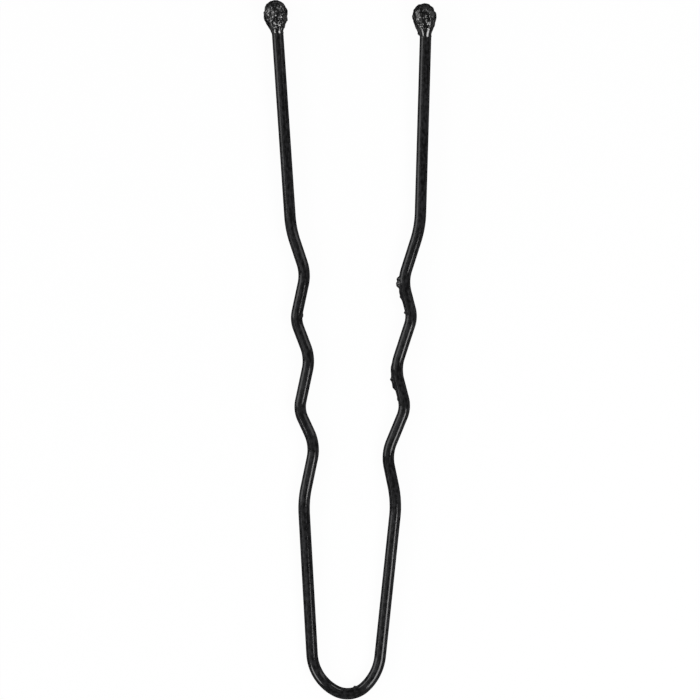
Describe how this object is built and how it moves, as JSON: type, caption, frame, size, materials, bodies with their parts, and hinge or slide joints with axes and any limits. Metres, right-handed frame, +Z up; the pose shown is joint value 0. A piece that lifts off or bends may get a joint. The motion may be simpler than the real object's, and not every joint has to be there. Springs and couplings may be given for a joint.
{
  "type": "crimped hairpin",
  "caption": "Open U-shaped hairpin bent from round black lacquered wire, with waved legs that spring together and apart to hold hair, and a rounded resin tip on each end.",
  "frame": {"origin": "on the surface that the pin lies on, in the middle of its length and width", "axes": "+X across the pin from the left leg to the right leg, +Y along it from the bow to the tips, +Z up from the surface that it lies on"},
  "size_m": [0.016, 0.065, 0.0022],
  "materials": {
    "black_lacquer": "satin black lacquer baked on hard-drawn steel wire",
    "tip_resin": "black dipped resin with a rough, grainy skin"
  },
  "bodies": {
    "bow": {"bow": "black_lacquer"},
    "left_leg": {"left_leg": "black_lacquer", "left_tip": "tip_resin"},
    "right_leg": {"right_leg": "black_lacquer", "right_tip": "tip_resin"}
  },
  "joints": [
    {"name": "left_leg_flex", "type": "hinge", "parent": "bow", "child": "left_leg", "pos_m": [-0.00378, -0.0239, 0.00111], "axis": [0, 0, 1], "range_deg": [-5.8, 10], "stiffness_Nm_per_rad": 0.34, "deforming": ["bow"]},
    {"name": "right_leg_flex", "type": "hinge", "parent": "bow", "child": "right_leg", "pos_m": [0.00327, -0.02411, 0.00111], "axis": [0, 0, -1], "range_deg": [-5.8, 10], "stiffness_Nm_per_rad": 0.34, "deforming": ["bow"]}
  ]
}
